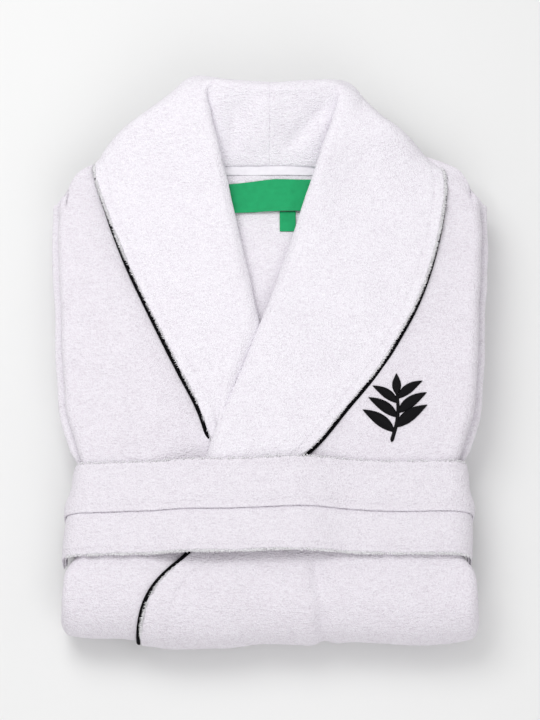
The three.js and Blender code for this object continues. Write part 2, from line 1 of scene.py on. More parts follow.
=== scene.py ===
import bmesh
import bpy
import numpy as np
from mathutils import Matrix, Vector


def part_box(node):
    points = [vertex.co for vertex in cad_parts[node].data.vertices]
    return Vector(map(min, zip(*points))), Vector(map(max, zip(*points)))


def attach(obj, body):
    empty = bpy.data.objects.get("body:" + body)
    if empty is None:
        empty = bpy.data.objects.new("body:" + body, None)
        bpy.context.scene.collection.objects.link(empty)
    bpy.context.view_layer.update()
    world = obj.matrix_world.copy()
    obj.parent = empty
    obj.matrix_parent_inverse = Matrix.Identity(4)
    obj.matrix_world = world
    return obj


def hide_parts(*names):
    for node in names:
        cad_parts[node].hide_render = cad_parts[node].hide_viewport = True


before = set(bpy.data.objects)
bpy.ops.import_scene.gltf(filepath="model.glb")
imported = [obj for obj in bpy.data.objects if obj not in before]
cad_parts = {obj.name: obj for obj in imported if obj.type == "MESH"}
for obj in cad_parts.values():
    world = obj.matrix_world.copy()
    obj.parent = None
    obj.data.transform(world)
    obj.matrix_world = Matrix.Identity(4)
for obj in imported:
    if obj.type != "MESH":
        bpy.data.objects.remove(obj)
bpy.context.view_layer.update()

# ---------------------------------------------------------------------------------------------
# Camera: a long lens, almost overhead and tipped towards the front fold.
# The bundle lies on its back with the collar away from the viewer.
target = Vector((0.0, 0.0059, 0.040))
tilt = np.radians(18)
distance = 3.0
lens = bpy.data.cameras.new("shelf_camera")
lens.lens = 36 * distance / 0.6336
lens.clip_end = 20
camera = bpy.data.objects.new("shelf_camera", lens)
camera.location = target + distance * Vector((0, -np.sin(tilt), np.cos(tilt)))
camera.rotation_euler = (tilt, 0, 0)
bpy.context.scene.collection.objects.link(camera)
bpy.context.scene.camera = camera


# ---------------------------------------------------------------------------------------------
# Studio: a plain pale floor in an even pale room. One soft lamp stands near the collar on the
# left, and a larger one fills in from the front.
def blank(name, rough):
    """A new material with its shader, and short names for adding and linking its nodes."""
    finish = bpy.data.materials.new(name)
    finish.use_nodes = True
    shader = finish.node_tree.nodes["Principled BSDF"]
    shader.inputs["Roughness"].default_value = rough
    return finish, shader, finish.node_tree.nodes.new, finish.node_tree.links.new


def tone_and_shade_ramp(new, link, shader, amount, dark, colour, start=0.0):
    """The shader's colour: dark where the amount is below start, rising to the full colour at 1."""
    ramp = new("ShaderNodeValToRGB")
    ramp.color_ramp.elements[0].color = (*dark, 1)
    ramp.color_ramp.elements[1].color = (*colour, 1)
    ramp.color_ramp.elements[0].position = start
    link(amount, ramp.inputs["Fac"])
    link(ramp.outputs["Color"], shader.inputs["Base Color"])


def pale_paint(name, colour, grain):
    """A matt paint whose colour wanders by a few hundredths with a broad noise."""
    paint, shader, new, link = blank(name, 0.9)
    noise = new("ShaderNodeTexNoise")
    noise.inputs["Scale"].default_value = grain
    link(new("ShaderNodeTexCoord").outputs["Object"], noise.inputs["Vector"])
    tone_and_shade_ramp(new, link, shader, noise.outputs["Fac"], [c * 0.985 for c in colour], colour)
    return paint


floor_mesh = bpy.data.meshes.new("floor")
floor_corners = [(-6, -6, 0), (6, -6, 0), (6, 6, 0), (-6, 6, 0)]
floor_mesh.from_pydata(floor_corners, [], [(0, 1, 2, 3)])
floor_mesh.materials.append(pale_paint("floor_paint", (0.80, 0.808, 0.80), 3))
floor = bpy.data.objects.new("floor", floor_mesh)
bpy.context.scene.collection.objects.link(floor)


def soft_light(name, place, size, power):
    """A square lamp at `place` that faces the middle of the bundle."""
    lamp = bpy.data.lights.new(name, "AREA")
    lamp.size = size
    lamp.energy = power
    stand = bpy.data.objects.new(name, lamp)
    stand.location = place
    stand.rotation_euler = (target - stand.location).to_track_quat("-Z", "Y").to_euler()
    bpy.context.scene.collection.objects.link(stand)


soft_light("window", Vector((-0.45, 0.5, 1.4)), 0.9, 10.9)
soft_light("front_fill", Vector((0.4, -1.7, 1.9)), 1.6, 14)
room = bpy.data.worlds.new("room")
room.use_nodes = True
room.node_tree.nodes["Background"].inputs["Color"].default_value = (1.0, 0.985, 1.0, 1)
room.node_tree.nodes["Background"].inputs["Strength"].default_value = 0.63
bpy.context.scene.world = room
bpy.context.scene.view_settings.view_transform = "Standard"

# ---------------------------------------------------------------------------------------------
# Fronts: two terry panels, the left over the right. Each is rolled round the front fold, runs back
# underneath, turns again inside and ends at its hem, with its side strip folded under.
# Sizes are in millimetres until a mesh is made.
cloth = 3.35  # one layer of terry
pitch = 3.7  # one layer and the air above it
fold_y, middle_z = -222.9, 33.1  # the middle of the front fold
back_fold_y, back_middle_z = 150.0, 18.3  # the middle of the inner fold
hem_y = -180.0
body_half = 188.0
turned_side = 112.0  # where the strip that is folded under each side ends
strip_layer = 4  # how many layers down that strip lies
front_slump, back_slump = 13, 10.5  # how far the strips sink inside the front fold
left_hem_x, right_hem_x = -110.0, 60.0  # each front's inner edge once it has passed the fold
belt_low = -179.0  # the belt's lower edge, by which the bundle is put in its place
to_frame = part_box("belt")[0].y * 1000 - belt_low


def softened(stations, spread):
    """Straight lines between the stations, with their corners rounded by a bell-shaped average."""
    at = np.arange(-320.0, 321.0)
    reach = np.arange(-3 * spread, 3 * spread + 1)
    bell = np.exp(-0.5 * (reach / spread) ** 2)
    line = np.pad(np.interp(at, *np.transpose(stations)), 3 * spread, mode="edge")
    smooth = np.convolve(line, bell / bell.sum(), mode="valid")
    return lambda y: np.interp(y, at, smooth)


height = softened(
    [(-223, 1), (-193, 0.99), (-179, 0.94), (-97, 0.94), (-57, 1), (20, 1.02), (85, 1), (118, 0.965),
     (150, 0.93)], 7
)
half_width = softened(
    [(-256, 187), (-223, 185.5), (-189, 182), (-178, 170), (-140, 168), (-95, 168), (-84, 172),
     (-50, 183), (20, 189), (50, 191), (110, 194), (146, 194)], 5
)


def smooth_step(low, high, value):
    """0 below low, 1 above high, and a smooth rise between them."""
    t = np.clip((value - low) / (high - low), 0, 1)
    return t * t * (3 - 2 * t)


def lumps(points, size, seed):
    """A smooth random height from -1 to 1: random values on a cubic lattice, blended between its
    corners."""
    table = np.random.default_rng(seed).uniform(-1, 1, (32, 32, 32))
    cell = np.floor(points / size).astype(int)
    part = points / size - cell
    part = part * part * (3 - 2 * part)
    total = 0
    for corner in np.ndindex(2, 2, 2):
        weight = np.prod(np.where(np.array(corner) == 1, part, 1 - part), axis=-1)
        where = (cell + np.array(corner)) % 32
        total = total + weight * table[where[..., 0], where[..., 1], where[..., 2]]
    return total


fold_sag = softened(
    [(-190, 4.5), (-130, 4.5), (-114, 3), (-84, -1.5), (-33, 0), (-7, 4), (35, 2), (72, 5.5), (128, 2),
     (167, 4.5)], 5
)


def settle(points):
    """How the stack has sunk and shifted as one: broad dents that grow with the height above the
    floor, two creases below the belt, a wavy front fold, and side edges that wander in and out."""
    x, y, z = points[..., 0], points[..., 1], points[..., 2]
    up = np.clip(z / 66, 0, 1.25)
    plan = np.stack([x, y, 0 * z], -1)
    dz = up * (1.9 * lumps(plan, 90, 3) + 1.0 * lumps(plan, 34, 4))
    near_fold = smooth_step(-192, -232, y)
    under_belt = smooth_step(-168, -192, y)
    crease = np.exp(-(((x - 41 + 0.10 * (y + 200)) / 6.5) ** 2))
    over_fold = smooth_step(-205, -222, y) * smooth_step(-246, -226, y)
    dz -= up * 4.6 * under_belt * crease * (1 - 0.55 * over_fold)
    dz -= up * 1.6 * under_belt * np.exp(-(((x + 12) / 16) ** 2))
    dz -= up * (4.5 * smooth_step(-194, -246, y) + 2.0 * np.exp(-(((y + 134) / 9) ** 2)))
    dy = near_fold * (fold_sag(x) + 4) + 3.6 * near_fold * crease
    side = np.clip(np.abs(x) / 185, 0, 1.1) ** 4 * np.sign(x)
    edge = np.stack([x * 0 + 7 * np.sign(x), y, z * 0.6], -1)
    dx = side * (1.5 * lumps(edge, 46, 7) + 0.7 * lumps(edge, 17, 8))
    corner = np.clip((np.abs(x) - 150) / 36, 0, 1.3) ** 2
    dy = dy + smooth_step(-205, -250, y) * 7 * corner
    return np.stack([x + dx, y + dy, z + dz], -1)


def wrapped(rows, cols):
    """The corners of every face of a grid whose last column meets its first."""
    number = np.arange(rows * cols).reshape(rows, cols)
    nearby = np.roll(number, -1, axis=1)
    return np.stack([number[:-1], number[1:], nearby[1:], nearby[:-1]], -1).reshape(-1, 4)


def build(name, points, faces, finish, uv=None):
    """A smooth-shaded mesh of settled points in metres, with coincident points joined."""
    places = settle(points.reshape(-1, 3)) + np.array([0, to_frame, 0])
    mesh = bpy.data.meshes.new(name)
    mesh.from_pydata((places * 0.001).tolist(), [], faces.tolist())
    if uv is not None:
        layer = mesh.uv_layers.new(name="cloth")
        loops = np.empty(len(mesh.loops), int)
        mesh.loops.foreach_get("vertex_index", loops)
        layer.data.foreach_set("uv", (uv * 0.001)[loops].ravel())
    knit = bmesh.new()
    knit.from_mesh(mesh)
    bmesh.ops.remove_doubles(knit, verts=knit.verts, dist=2e-6)
    bmesh.ops.dissolve_degenerate(knit, dist=1e-6, edges=knit.edges)
    knit.to_mesh(mesh)
    knit.free()
    mesh.polygons.foreach_set("use_smooth", [True] * len(mesh.polygons))
    mesh.materials.append(finish)
    piece = bpy.data.objects.new(name, mesh)
    bpy.context.scene.collection.objects.link(piece)
    return piece


rim = np.radians([30, 60, 90, 120, 150])
upward = np.array([0, 0, 1.0])
unit = lambda v: v / np.maximum(np.linalg.norm(v, axis=-1, keepdims=True), 1e-9)


def ends_shut(rows):
    """Three more rows at each end, turned by 30, 60 and 90 degrees to close it in a half round."""
    row = np.concatenate([[0, 0, 0], np.arange(rows), [rows - 1] * 3])
    turn = np.radians(np.concatenate([[90, 60, 30], np.zeros(rows), [30, 60, 90]]))
    ends = np.concatenate([[-1, -1, -1], np.zeros(rows), [1, 1, 1]])
    return row, turn[:, None, None], ends[:, None, None]


def shell(name, middle, thick, finish, fuzz=0.28, from_end=False):
    """A grid of points given a thickness. Each face lies half of it off the middle, square to the
    surface, and all four edges close in a half round. The pile makes the faces a little uneven."""
    along, across = np.gradient(middle, axis=0), np.gradient(middle, axis=1)
    along, across, square = unit(along), unit(across), unit(np.cross(along, across))
    rows, cols = middle.shape[:2]
    step = lambda axis: np.linalg.norm(np.diff(middle, axis=axis), axis=-1)
    run = np.pad(np.cumsum(step(0), 0), ((1, 0), (0, 0)))
    width = np.pad(np.cumsum(step(1), 1), ((0, 0), (1, 0)))
    width = width[:, -1:] - width if from_end else width
    column = [np.arange(cols), np.full(5, cols - 1), np.arange(cols)[::-1], np.full(5, 0)]
    column = np.concatenate(column)
    up = np.concatenate([np.ones(cols), np.cos(rim), -np.ones(cols), -np.cos(rim)])[:, None]
    out = np.concatenate([np.zeros(cols), np.sin(rim), np.zeros(cols), -np.sin(rim)])[:, None]
    row, turn, ends = ends_shut(rows)
    pick = lambda a: a[row][:, column]
    uneven = 0.8 * lumps(pick(middle), 5.5, 11) + 0.6 * lumps(pick(middle), 11, 12)
    half = (thick / 2 + fuzz * uneven)[..., None]
    grid = pick(middle) + ends * np.sin(turn) * half * pick(along)
    grid = grid + np.cos(turn) * half * (up * pick(square) + out * pick(across))
    uv = np.stack([pick(width), pick(run)], -1).reshape(-1, 2)
    return build(name, grid, wrapped(*grid.shape[:2]), finish, uv)


def sewn(piece, node, body="robe"):
    """The piece moves with its body and stands in for its plain solid."""
    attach(piece, body)
    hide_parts(node)


def raised(new, link, shader, amount, strength, depth):
    """A relief of the given depth in metres that follows the amount."""
    relief = new("ShaderNodeBump")
    relief.inputs["Strength"].default_value = strength
    relief.inputs["Distance"].default_value = depth
    link(amount, relief.inputs["Height"])
    link(relief.outputs["Normal"], shader.inputs["Normal"])


def terry(name, top, low, stitches=(), sheen=0.18):
    """Terry pile: loops about 1.5 mm across and short streaks combed two ways, over lumps of 3 and 20
    mm, with a soft sheen. The colour follows the pile's height: the low colour in its hollows is
    partly random tone and partly painted shade, and the top colour lies on its tops. Each row of
    stitches is a narrow dashed groove at its distance from the edge, its colour darkened as painted
    shade."""
    finish, shader, new, link = blank(name, 0.95)
    shader.inputs["Sheen Weight"].default_value = sheen
    shader.inputs["Sheen Roughness"].default_value = 0.6
    shader.inputs["Specular IOR Level"].default_value = 0.15
    place = new("ShaderNodeTexCoord")

    def number(kind, a, b):
        node = new("ShaderNodeMath")
        node.operation = kind
        for socket, value in zip(node.inputs, (a, b)):
            if isinstance(value, (int, float)):
                socket.default_value = value
            else:
                link(value, socket)
        return node.outputs[0]

    def noise(scale, detail, rough, slant=None):
        node = new("ShaderNodeTexNoise")
        node.inputs["Scale"].default_value = scale
        node.inputs["Detail"].default_value = detail
        node.inputs["Roughness"].default_value = rough
        if slant is None:
            link(place.outputs["Object"], node.inputs["Vector"])
        else:
            combed = new("ShaderNodeMapping")
            combed.inputs["Rotation"].default_value = (0, 0, slant)
            combed.inputs["Scale"].default_value = (0.36, 1.25, 0.8)
            link(place.outputs["Object"], combed.inputs["Vector"])
            link(combed.outputs["Vector"], node.inputs["Vector"])
        return node.outputs["Fac"]

    loops = new("ShaderNodeTexVoronoi")
    loops.inputs["Scale"].default_value = 700
    link(place.outputs["Object"], loops.inputs["Vector"])
    fine, lumpy, broad = noise(640, 3, 0.75), noise(300, 2, 0.6), noise(45, 3, 0.5)
    lean = new("ShaderNodeMix")
    patches = number("MULTIPLY", number("SUBTRACT", noise(60, 1, 0.5), 0.4), 5)
    link(patches, lean.inputs["Factor"])
    link(noise(560, 2, 0.6, 0.25), lean.inputs["A"])
    link(noise(560, 2, 0.6, -0.75), lean.inputs["B"])
    plus = lambda a, b, share: number("ADD", a, number("MULTIPLY", b, share))
    pile = plus(number("MULTIPLY", fine, 0.45), lean.outputs["Result"], 1.15)
    pile = plus(plus(plus(pile, loops.outputs["Distance"], -0.7), lumpy, 0.3), broad, 0.25)
    shade = number("ADD", number("MULTIPLY", pile, 1.4), -0.45)
    if stitches:
        parts = new("ShaderNodeSeparateXYZ")
        link(place.outputs["UV"], parts.inputs[0])
        beat = number("SINE", number("MULTIPLY", parts.outputs["Y"], 2090), 0)
        dash = number("ADD", number("MULTIPLY", beat, 0.18), 0.82)
        for at in stitches:
            gap = number("ABSOLUTE", number("SUBTRACT", parts.outputs["X"], at), 0)
            groove = new("ShaderNodeMapRange")
            groove.interpolation_type = "SMOOTHSTEP"
            ends = {"From Min": 0.0, "From Max": 0.0030, "To Min": 1.0, "To Max": 0.0}
            for key, value in ends.items():
                groove.inputs[key].default_value = value
            link(gap, groove.inputs["Value"])
            sunk = number("MULTIPLY", groove.outputs["Result"], dash)
            pile = number("SUBTRACT", pile, number("MULTIPLY", sunk, 0.55))
            # Painted shade: each stitch groove darkens the colour as well as the relief.
            shade = number("SUBTRACT", shade, number("MULTIPLY", sunk, 0.10))
    # Painted shade: the pile's hollows take the darker, lavender low colour and its tops the top
    # colour; the broad noises add random tone.
    pile_tone_and_shade = new("ShaderNodeMix")
    pile_tone_and_shade.data_type = "RGBA"
    pile_tone_and_shade.inputs["A"].default_value = (*low, 1)
    pile_tone_and_shade.inputs["B"].default_value = (*top, 1)
    pile_tone_and_shade.clamp_factor = True
    link(shade, pile_tone_and_shade.inputs["Factor"])
    link(pile_tone_and_shade.outputs["Result"], shader.inputs["Base Color"])
    raised(new, link, shader, pile, 0.7, 0.0015)
    return finish


def roll(u, depth, top_end):
    """Where a layer lies at depth under the outermost one. u runs 0 to 1 down the top, to 2 round
    the front fold, to 3 back underneath, to 4 round the inner fold, to 5 along the hem pass."""
    part = [np.clip(u - k, 0, 1) for k in range(5)]
    y = top_end + (fold_y - top_end) * part[0]
    z = (2 * middle_z - depth) * height(y)
    front = np.pi * (0.5 + part[1])
    back = np.pi * (part[3] - 0.5)
    lower = fold_y + (back_fold_y - fold_y) * part[2]
    inner = back_fold_y + (hem_y - back_fold_y) * part[4]
    radius = middle_z - depth
    pick = [u <= 1, u <= 2, u <= 3, u <= 4]
    y = np.select(pick, [y, fold_y + radius * np.cos(front), lower,
                         back_fold_y + (back_middle_z - depth) * np.cos(back)], inner)
    turned = (back_middle_z + (back_middle_z - depth) * np.sin(back)) * height(back_fold_y)
    z = np.select(pick, [z, middle_z + radius * np.sin(front), depth * height(lower), turned],
                  (2 * back_middle_z - depth) * height(inner))
    return y, z


def side_turn(order, strip_order, inset, steps):
    """The section where a panel turns under at its side: a half round from its own layer to the
    strip's."""
    face, strip = order * pitch + cloth / 2, strip_order * pitch + cloth / 2
    radius = (strip - face) / 2
    angle = np.linspace(0, np.pi, steps)
    bulge, sink = radius * np.sin(angle), face + radius * (1 - np.cos(angle))
    return face, strip, inset + cloth / 2 + radius, bulge, sink


def slumped(rows, depth, face, strip, most):
    """The depth with the turned strips sunk into the hollow of the front fold, most at its nose."""
    sinking = most * smooth_step(0.957, 1.25, rows) * smooth_step(2.055, 1.75, rows)
    return depth + sinking * (depth - face) / (strip - face)


shoulder = softened(
    [(0, 197), (62, 196), (138, 190), (153, 186), (170, 180), (180, 174), (186, 164), (189, 152)], 3
)
side_reach = lambda y, rows: half_width(np.where(rows > 1, np.minimum(y, 140), y))
passes = lambda *counts: np.concatenate(
    [np.linspace(k, k + 1, n, endpoint=False) for k, n in enumerate(counts)] + [[5.0]]
)[:, None]


def front(sign, order, seam, fine):
    """Columns run from the inner edge over the face, round the side and in along the turned strip.
    Rows run along the roll. Across the face, points share out the way from the edge to the side."""
    face, strip, inset, bulge, sink = side_turn(order, strip_layer, 6, 13)
    share = np.linspace(0, 1, fine)
    under = np.linspace(0, 1, 16)[1:]
    lead = np.concatenate([share, np.ones(11), 1 - under])
    seam_share = np.concatenate([1 - share, np.zeros(11 + 15)])
    fixed = np.concatenate([np.zeros(fine + 11), under * (body_half - turned_side)])
    bulge = np.concatenate([np.zeros(fine), bulge[1:-1], np.zeros(15)])
    depth = np.concatenate([np.full(fine, face), sink[1:-1], np.full(15, strip)])
    nominal = 60 + 128 * share
    tops = np.concatenate([shoulder(nominal), np.linspace(153, 126, 11), np.full(15, 112)])
    rows = passes(int(fine * 1.35), 30, 34, 10, 30)
    y, z = roll(rows, slumped(rows, depth, face, strip, front_slump), tops)
    side = side_reach(y, rows) - inset
    x = sign * (lead * side + fixed + bulge) + seam_share * seam(y, rows)
    z = z - 4.5 * smooth_step(0.05, 0, rows) * (depth < face + 0.1)
    return np.stack([x, y, z], -1)


left_seam = softened(
    [(-256, -110), (-246, -109.5), (-234, -107), (-222, -103), (-210, -98), (-199, -91), (-189, -81),
     (-181, -71), (-172, -63), (-163, -60), (-92, -56), (-55, -37), (10, -14), (45, 20), (90, 46),
     (150, 62), (178, 66)], 4
)
right_seam = softened(
    [(-256, 60), (-150, 56), (-110, 20), (-40, 0), (23, -11), (40, -20), (85, -42), (140, -60),
     (178, -66)], 4
)
# A darker, pinker copy of the plain terry for both fronts and their rolled skirt: painted shade.
front_terry_painted_shade = terry("terry_front_painted_shade", (0.875, 0.85, 0.903), (0.735, 0.687, 0.748), (0.020,))
plain_white = terry("terry_plain", (0.90, 0.88, 0.925), (0.765, 0.72, 0.78))
left_grid = front(1, 0, lambda y, u: np.where(u < 1.5, left_seam(y), left_hem_x), 96)
right_grid = front(-1, 1, lambda y, u: np.where(u < 1, right_seam(y), right_hem_x), 84)
fronts = [
    shell("front_left", left_grid, cloth, front_terry_painted_shade),
    shell("front_right", right_grid, cloth, front_terry_painted_shade),
]
for piece, side, area in zip(fronts, ("left", "right"), (0.47, 0.42)):
    sewn(piece, f"front_panel_{side}")

# ---------------------------------------------------------------------------------------------
# Back: one panel inside the fronts, rolled and turned in with them. Its inner face shows in the
# neck opening. Two patch pockets lie flat on the stretch of skirt that is folded under.
face, strip, inset, bulge, sink = side_turn(2, strip_layer - 1, 9.7, 7)
share = np.linspace(-1, 1, 96)
under = np.linspace(0, 1, 12)[1:]
lead = np.concatenate([-(1 - under[::-1]), -np.ones(5), share, np.ones(5), 1 - under])
fixed = np.concatenate([-under[::-1], np.zeros(106), under]) * (body_half - turned_side)
bulge, sink = bulge[1:-1], sink[1:-1]
bulged = np.concatenate([np.zeros(11), -bulge, np.zeros(96), bulge, np.zeros(11)])
depth = [np.full(11, strip), sink[::-1], np.full(96, face), sink, np.full(11, strip)]
depth = np.concatenate(depth)
tops = np.concatenate([
    np.full(11, 112), np.linspace(124, 150, 5),
    np.interp(np.abs(share) * 186, [0, 60, 70, 150, 178, 186], [181, 181, 190, 184, 172, 154]),
    np.linspace(150, 124, 5), np.full(11, 112),
])
rows = passes(90, 26, 30, 8, 26)
y, z = roll(rows, slumped(rows, depth, face, strip, back_slump), tops)
x = lead * (side_reach(y, rows) - inset) + fixed + bulged
back = shell("back", np.stack([x, y, z], -1), cloth, plain_white)
sewn(back, "back_panel")


def patch(name, x0, x1, y0, y1, middle, thick, finish, count=(40, 34), lift=None, slide=None):
    """A flat piece at a height given as a function of y, lifted by a small extra that may vary and
    slid along y by another."""
    down, over = np.linspace(y1, y0, count[0]), np.linspace(x0, x1, count[1])
    y, x = np.meshgrid(down, over, indexing="ij")
    z = middle(y) + (0 if lift is None else lift(x, y))
    y = y + (0 if slide is None else slide(x, y))
    return shell(name, np.stack([x, y, z], -1), thick, finish, fuzz=0)


pocket_thick = 1.5
pockets = [
    patch("patch_pocket_left", 10, 156, -192, -14, lambda y: 0.8 * height(y),
          pocket_thick, plain_white),
    patch("patch_pocket_right", -156, -10, -192, -14, lambda y: (pitch + 0.8) * height(y),
          pocket_thick, plain_white),
]
for piece in pockets:
    sewn(piece, piece.name.removeprefix("patch_"))

# ---------------------------------------------------------------------------------------------
# Sleeves and cuffs: two flattened terry tubes folded in behind the fronts. Their outer folds stand
# a little past the body, and each ends in a turned-back cuff.
sleeve_z = 10 * pitch + 1.85 + cloth / 2


def flat_tube(sign, reach, low_end, tops, z_low, z_high, counts):
    """A pressed tube: columns run out along its lower layer, round the outer fold and back along
    the upper one. Rows run from the top edge to the open end."""
    rows, cols = counts
    radius = (z_high - z_low) / 2
    share = np.linspace(0, 1, cols)
    angle = np.linspace(0, np.pi, 9)[1:-1]
    lead = np.concatenate([share, np.ones(7), share[::-1]])
    bulge = np.concatenate([np.zeros(cols), radius * np.sin(angle), np.zeros(cols)])
    rise = z_low + radius * (1 - np.cos(angle))
    level = np.concatenate([np.full(cols, z_low), rise, np.full(cols, z_high)])
    down = np.linspace(0, 1, rows)[:, None]
    top = tops(lead)
    y = top + (low_end - top) * down
    x = sign * (6 + lead * (reach(y) - 6 - radius - cloth / 2) + bulge)
    return np.stack([x, y, level * height(y)], -1)


sleeve_reach = lambda y: half_width(np.maximum(y, -180)) - 3.2 * smooth_step(-78, -92, y) + 0.6
sleeve_top = lambda share: np.interp(share * 192, [6, 92, 176, 187, 192], [60, 165, 163, 156, 148])
cuff_reach, cuff_top = (lambda y: 165.5 + 0 * y), (lambda share: -132 + 0 * share)
cuff_low, cuff_high, cuff_thick = 37.9, 46.6, 1.5
arms = []
for sign, side in ((1, "left"), (-1, "right")):
    tube = flat_tube(sign, sleeve_reach, -200, sleeve_top, sleeve_z, sleeve_z + pitch, (70, 40))
    arms.append((shell(f"arm_{side}", tube, cloth, plain_white), f"sleeve_{side}"))
    tube = flat_tube(sign, cuff_reach, -205, cuff_top, cuff_low, cuff_high, (20, 26))
    cuff = shell(f"turned_cuff_{side}", tube, cuff_thick, plain_white, fuzz=0)
    arms.append((cuff, f"cuff_{side}"))
for piece, node in arms:
    sewn(piece, node)

# ---------------------------------------------------------------------------------------------
# Shawl collar: two halves joined at the centre back, each an upper layer of terry and an under
# layer inside it. It stands up from the neck seam, turns over, and spreads into the lapels.
# Each station lists the seam below it (x, y, z), the turn (x, y) and the outer edge (x, y, z).


def through(points, at):
    """A smooth line through the points: between two neighbours a cubic whose slope at each point is
    half the step from the one before it to the one after."""
    p = np.asarray(points, float)
    p = np.concatenate([2 * p[:1] - p[1:2], p, 2 * p[-1:] - p[-2:-1]])
    i = np.clip(np.floor(at).astype(int), 0, len(p) - 4)
    f = (at - i).reshape(-1, *[1] * (p.ndim - 1))
    a, b, c, d = p[i], p[i + 1], p[i + 2], p[i + 3]
    return b + 0.5 * f * (c - a + f * (2 * a - 5 * b + 4 * c - d + f * (3 * (b - c) + d - a)))


def collar_top(y):
    """The upper layer's middle: nineteen layers up, and rising towards the back of the neck."""
    return (19 * pitch + cloth / 2) * height(y) + 20 * smooth_step(95, 240, y)


left_stations = np.array([
    (1.1, 182, 57, 1.1, 242, 1.1, 249, 27), (24, 182, 57, 28, 244, 30, 251, 27),
    (40, 181, 57, 53, 247, 64, 254, 27), (47, 180, 57.5, 62, 240, 84, 238, 29),
    (52, 178, 58, 57, 217, 100, 222, 31), (56, 174, 59, 50, 197, 121, 206, 37),
    (59, 167, 60, 44, 179, 138, 190, 45), (60, 155, 61, 38, 161, 152, 176, 59),
    (58, 138, 62, 31, 141, 154, 156, 63), (46, 102, 62, 20, 106, 151, 130, 66),
    (34, 66, 62, 8, 70, 143, 94, 68.5), (20, 28, 62, -6, 32, 129, 52, 69.5),
    (8, 0, 62, -17, 4, 111, 18, 69.5), (-2, -28, 62, -28, -24, 91, -14, 69),
    (-14, -58, 62, -40, -52, 64, -48, 68.5), (-26, -86, 60, -51, -82, 34, -84, 67),
    (-42, -122, 58, -59, -122, -12, -119, 66), (-54, -148, 60, -62, -148, -46, -149, 66),
    (-62, -161, 64, -64, -161, -62, -162, 66),
])
right_stations = np.array([
    (-1.1, 182, 57, -1.1, 242, -1.1, 249, 27), (-24, 182, 57, -27, 246, -34, 254, 27),
    (-40, 181, 57, -50, 249, -66, 258, 27), (-47, 180, 57.5, -57, 241, -88, 244, 29),
    (-52, 178, 58, -53, 217, -108, 228, 31), (-56, 174, 59, -48, 197, -130, 212, 37),
    (-59, 167, 60, -44, 179, -148, 194, 45), (-60, 155, 61, -39, 161, -155, 179, 59),
    (-58, 138, 62, -35, 141, -151, 158, 62), (-49, 102, 62, -27, 106, -140, 126, 66),
    (-42, 72, 62, -20, 75, -127, 92, 67.5), (-34, 42, 62, -14, 45, -109, 52, 68.5),
    (-28, 22, 62, -10, 24, -91, 15, 68.5), (-32, 4, 61, -18, 4, -76, -15, 68),
    (-38, -24, 61, -29, -24, -62, -42, 67.5), (-44, -52, 61, -39, -52, -53, -66, 66.5),
    (-48, -70, 61, -45, -68, -49, -80, 66),
])
left_turn = softened([(-160, -63), (-92, -56), (-18, -25), (68, 8), (174, 42), (242, 64)], 5)


def collar_grid(stations, rows):
    """Ten lines run the length of the collar, from the seam round the turn to the edge, and cubics
    join them both ways. Behind the neck the fall hangs, over the shoulder it spreads, and at the
    lapel it lies flat with its turn tucked under; each station is a blend of those three shapes."""
    seam, turn, edge = stations[:, :3], stations[:, 3:5], stations[:, 5:]
    top = collar_top(turn[:, 1])[:, None]
    outward = edge[:, :2] - turn
    span = np.linalg.norm(outward, axis=1, keepdims=True)
    out = np.pad(outward / span, ((0, 0), (0, 1)))
    turn = np.concatenate([turn, top], 1)
    size = np.clip(span / 45, 0.04, 1)
    drop = lambda point, fall: point - upward * fall
    mix = lambda a, b, t: a + (b - a) * t
    lift = lambda point, z: np.concatenate([point[:, :2], z + 0 * point[:, :1]], 1)
    past = lambda length: turn + length * out
    brim = edge[:, 2:]
    beyond = lambda length, share: lift(edge + length * out, mix(top, brim, share))
    hang = [seam, mix(seam, turn, 0.35), mix(seam, turn, 0.68), drop(mix(seam, turn, 0.92), -0.4),
            turn, drop(past(6.5), 4), beyond(1.5, 0.25), beyond(2, 0.5), beyond(1.5, 0.75), edge]
    spread = [seam, mix(seam, drop(turn, 9), 0.5), drop(past(2), 8), drop(turn, 4),
              drop(past(4), 0.3), past(12), drop(mix(turn, lift(edge, top), 0.5), 2),
              drop(mix(turn, lift(edge, top), 0.88), 6),
              lift(edge + 1.5 * out, mix(top - 6, brim, 0.4)), edge]
    flat = [drop(past(26 * size), 10), drop(past(14 * size), 10), drop(past(5 * size), 9.4),
            drop(turn, 4.7), drop(past(4.5 * size), 0.3), drop(past(12 * size), -0.6),
            mix(turn, edge, 0.4), mix(turn, edge, 0.66), mix(turn, edge, 0.87), edge]
    at = np.arange(len(stations))
    back = np.interp(at, [2, 4], [1, 0])[:, None]
    lapel = np.interp(at, [5, 6, 7, 8], [0, 0.25, 0.65, 1])[:, None]
    net = [a * back + b * (1 - back - lapel) + c * lapel for a, b, c in zip(hang, spread, flat)]
    net = through(np.stack(net, 1), np.linspace(0, len(stations) - 1, rows))
    steps = [np.linspace(0, 2, 14), np.linspace(2, 5, 22)[1:], np.linspace(5, 9, 40)[1:]]
    steps = np.concatenate(steps)
    return np.swapaxes(through(np.swapaxes(net, 0, 1), steps), 0, 1), steps


def crease(points, start, end, width):
    """How deep a dent is at each point: a bell across the line from start to end, fading at its
    ends."""
    start, end = np.array(start, float), np.array(end, float)
    length = np.linalg.norm(end - start)
    way = (end - start) / length
    gap = points[..., :2] - start
    part = gap @ way / length
    off = gap @ np.array([-way[1], way[0]])
    return np.exp(-((off / width) ** 2)) * smooth_step(-0.1, 0.3, part) * smooth_step(1.1, 0.7, part)


